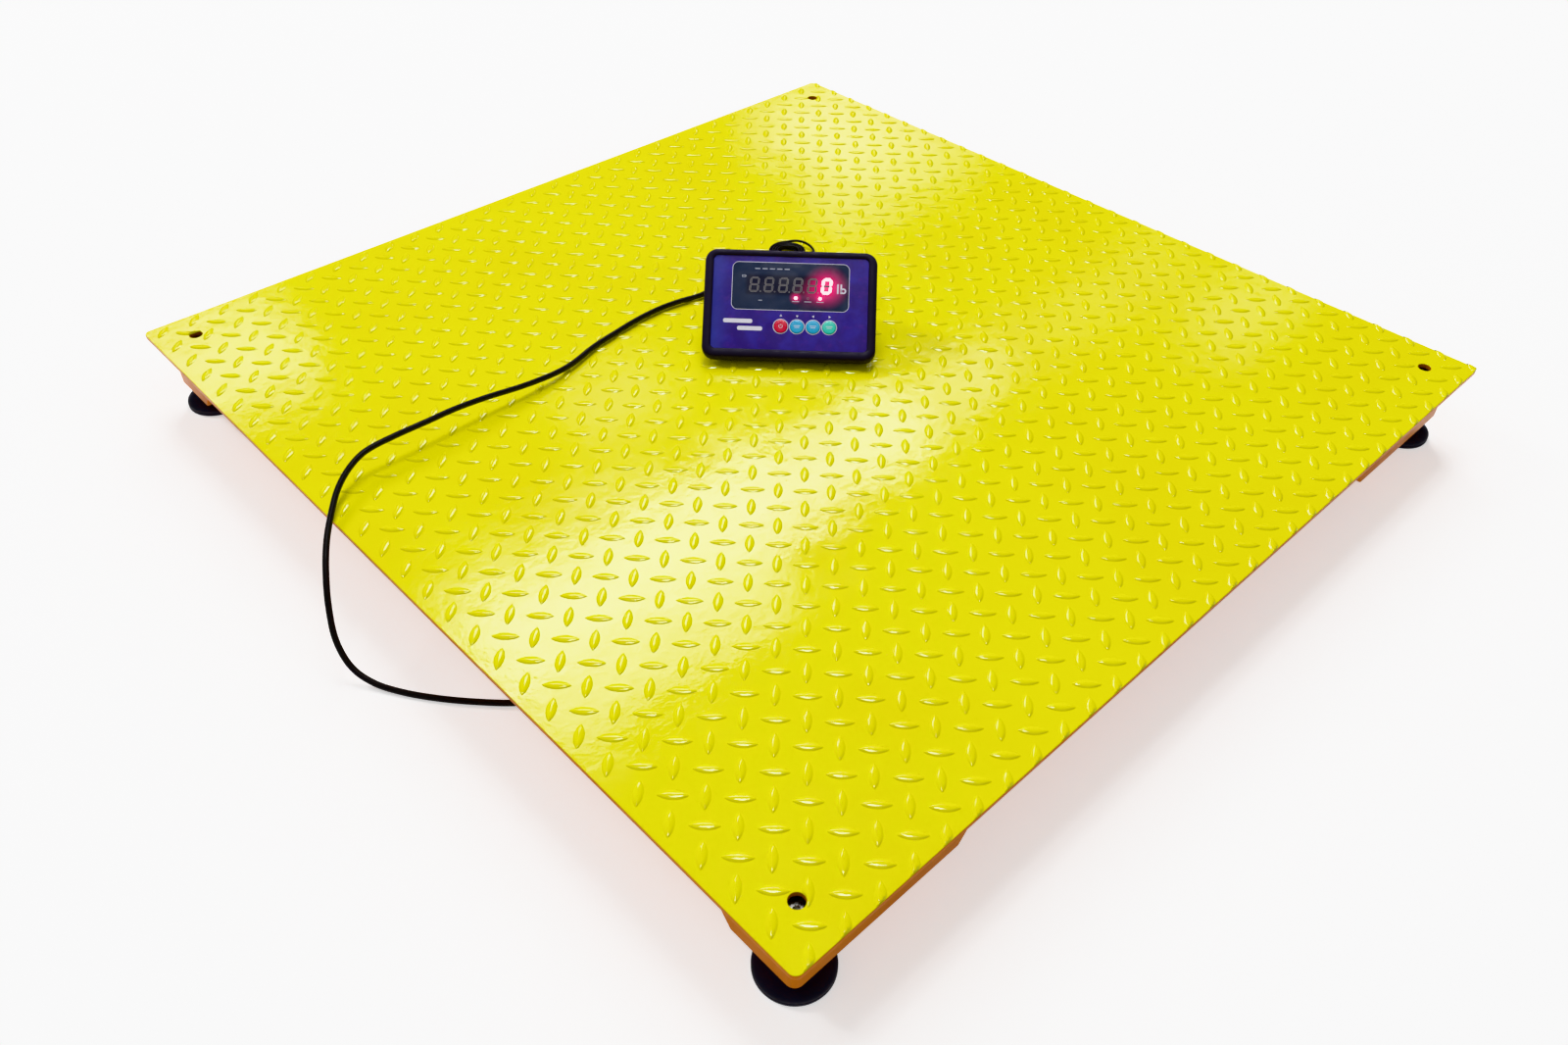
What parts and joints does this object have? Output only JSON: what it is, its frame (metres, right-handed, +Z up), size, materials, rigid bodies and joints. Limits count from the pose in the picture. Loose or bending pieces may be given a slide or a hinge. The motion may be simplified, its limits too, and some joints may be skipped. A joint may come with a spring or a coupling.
{
  "type": "pallet scale",
  "caption": "Low square tread-plate floor scale on load cells and levelling feet, with a cabled desk indicator resting on its deck.",
  "frame": {"origin": "on the floor under the centre of the square deck", "axes": "+Z up; X and Y along the deck's edges; the indicator faces the corner at -X -Y"},
  "size_m": [1.2893, 1.2192, 0.208],
  "materials": {
    "deck_paint": "gloss",
    "frame_paint": "gloss",
    "cell_steel": "satin nickel plate",
    "zinc_steel": "zinc plate",
    "foot_rubber": "matt",
    "grommet_rubber": "matt",
    "lead_sheath": "satin",
    "cable_sheath": "satin",
    "clip_nylon": "natural nylon",
    "box_plastic": "moulded",
    "circuit_board": "solder mask",
    "black_plastic": "fine moulded texture",
    "bezel_plastic": "fine moulded texture",
    "panel_film": "printed film",
    "window_film": "smoked",
    "module_plastic": "moulded",
    "battery_wrap": "shrink wrap",
    "switch_red": "gloss",
    "key_red": "printed dome",
    "key_cyan": "printed dome",
    "key_green": "printed dome"
  },
  "bodies": {
    "platform": {"deck_plate": "deck_paint", "deck_ribs": "frame_paint", "edge_channels": "frame_paint", "corner_pocket_front": "frame_paint", "corner_pocket_right": "frame_paint", "corner_pocket_back": "frame_paint", "corner_pocket_left": "frame_paint", "load_cell_front": "cell_steel", "load_cell_right": "cell_steel", "load_cell_back": "cell_steel", "load_cell_left": "cell_steel", "cell_spacers": "frame_paint", "cell_bolts": "zinc_steel", "lock_nuts": "zinc_steel", "cell_lead_front": "lead_sheath", "cell_lead_right": "lead_sheath", "cell_lead_back": "lead_sheath", "cell_lead_left": "lead_sheath", "lead_clips": "clip_nylon", "lead_grommets": "grommet_rubber", "junction_box": "box_plastic", "junction_gasket": "grommet_rubber", "junction_lid": "box_plastic", "junction_board": "circuit_board", "junction_glands": "black_plastic", "junction_screws": "zinc_steel", "scale_cable": "cable_sheath", "power_lead": "cable_sheath", "power_coil": "cable_sheath", "power_adapter": "black_plastic"},
    "foot_front": {"foot_stud_front": "zinc_steel"},
    "pad_front": {"foot_pad_front": "foot_rubber"},
    "foot_right": {"foot_stud_right": "zinc_steel"},
    "pad_right": {"foot_pad_right": "foot_rubber"},
    "foot_back": {"foot_stud_back": "zinc_steel"},
    "pad_back": {"foot_pad_back": "foot_rubber"},
    "foot_left": {"foot_stud_left": "zinc_steel"},
    "pad_left": {"foot_pad_left": "foot_rubber"},
    "indicator": {"front_bezel": "bezel_plastic", "face_panel": "panel_film", "display_window": "window_film", "rear_shell": "black_plastic", "base_cover": "black_plastic", "indicator_feet": "grommet_rubber", "base_screws": "zinc_steel", "display_board": "circuit_board", "display_modules": "module_plastic", "key_switches": "module_plastic", "main_board": "circuit_board", "battery_pack": "battery_wrap", "cable_gland": "black_plastic", "power_jack": "black_plastic", "serial_socket": "zinc_steel", "switch_frame": "black_plastic", "power_plug": "black_plastic"},
    "rocker": {"switch_rocker": "switch_red"},
    "off_key": {"key_off": "key_red"},
    "zero_key": {"key_zero": "key_cyan"},
    "tare_key": {"key_tare": "key_cyan"},
    "enter_key": {"key_enter": "key_green"}
  },
  "joints": [
    {"name": "foot_front_screw", "type": "slide", "parent": "platform", "child": "foot_front", "axis": [0, 0, 1], "range_m": [-0.012, 0]},
    {"name": "pad_front_swivel", "type": "hinge", "parent": "foot_front", "child": "pad_front", "pos_m": [-0.561, -0.561, 0.013], "axis": [0, 1, 0], "range_deg": [-5, 5]},
    {"name": "foot_right_screw", "type": "slide", "parent": "platform", "child": "foot_right", "axis": [0, 0, 1], "range_m": [-0.012, 0]},
    {"name": "pad_right_swivel", "type": "hinge", "parent": "foot_right", "child": "pad_right", "pos_m": [0.561, -0.561, 0.013], "axis": [0, 1, 0], "range_deg": [-5, 5]},
    {"name": "foot_back_screw", "type": "slide", "parent": "platform", "child": "foot_back", "axis": [0, 0, 1], "range_m": [-0.012, 0]},
    {"name": "pad_back_swivel", "type": "hinge", "parent": "foot_back", "child": "pad_back", "pos_m": [0.561, 0.561, 0.013], "axis": [0, 1, 0], "range_deg": [-5, 5]},
    {"name": "foot_left_screw", "type": "slide", "parent": "platform", "child": "foot_left", "axis": [0, 0, 1], "range_m": [-0.012, 0]},
    {"name": "pad_left_swivel", "type": "hinge", "parent": "foot_left", "child": "pad_left", "pos_m": [-0.561, 0.561, 0.013], "axis": [0, 1, 0], "range_deg": [-5, 5]},
    {"name": "indicator_lift", "type": "slide", "parent": "platform", "child": "indicator", "axis": [0, 0, 1], "range_m": [0, 0.06]},
    {"name": "power_switch", "type": "hinge", "parent": "indicator", "child": "rocker", "pos_m": [0.09103, 0.02831, 0.144], "axis": [0.7009, -0.7133, 0], "range_deg": [-20, 0]},
    {"name": "off_press", "type": "slide", "parent": "indicator", "child": "off_key", "axis": [-0.4537, -0.4458, 0.7716], "range_m": [-0.0008, 0], "stiffness_N_per_m": 900},
    {"name": "zero_press", "type": "slide", "parent": "indicator", "child": "zero_key", "axis": [-0.4537, -0.4458, 0.7716], "range_m": [-0.0008, 0], "stiffness_N_per_m": 900},
    {"name": "tare_press", "type": "slide", "parent": "indicator", "child": "tare_key", "axis": [-0.4537, -0.4458, 0.7716], "range_m": [-0.0008, 0], "stiffness_N_per_m": 900},
    {"name": "enter_press", "type": "slide", "parent": "indicator", "child": "enter_key", "axis": [-0.4537, -0.4458, 0.7716], "range_m": [-0.0008, 0], "stiffness_N_per_m": 900}
  ]
}
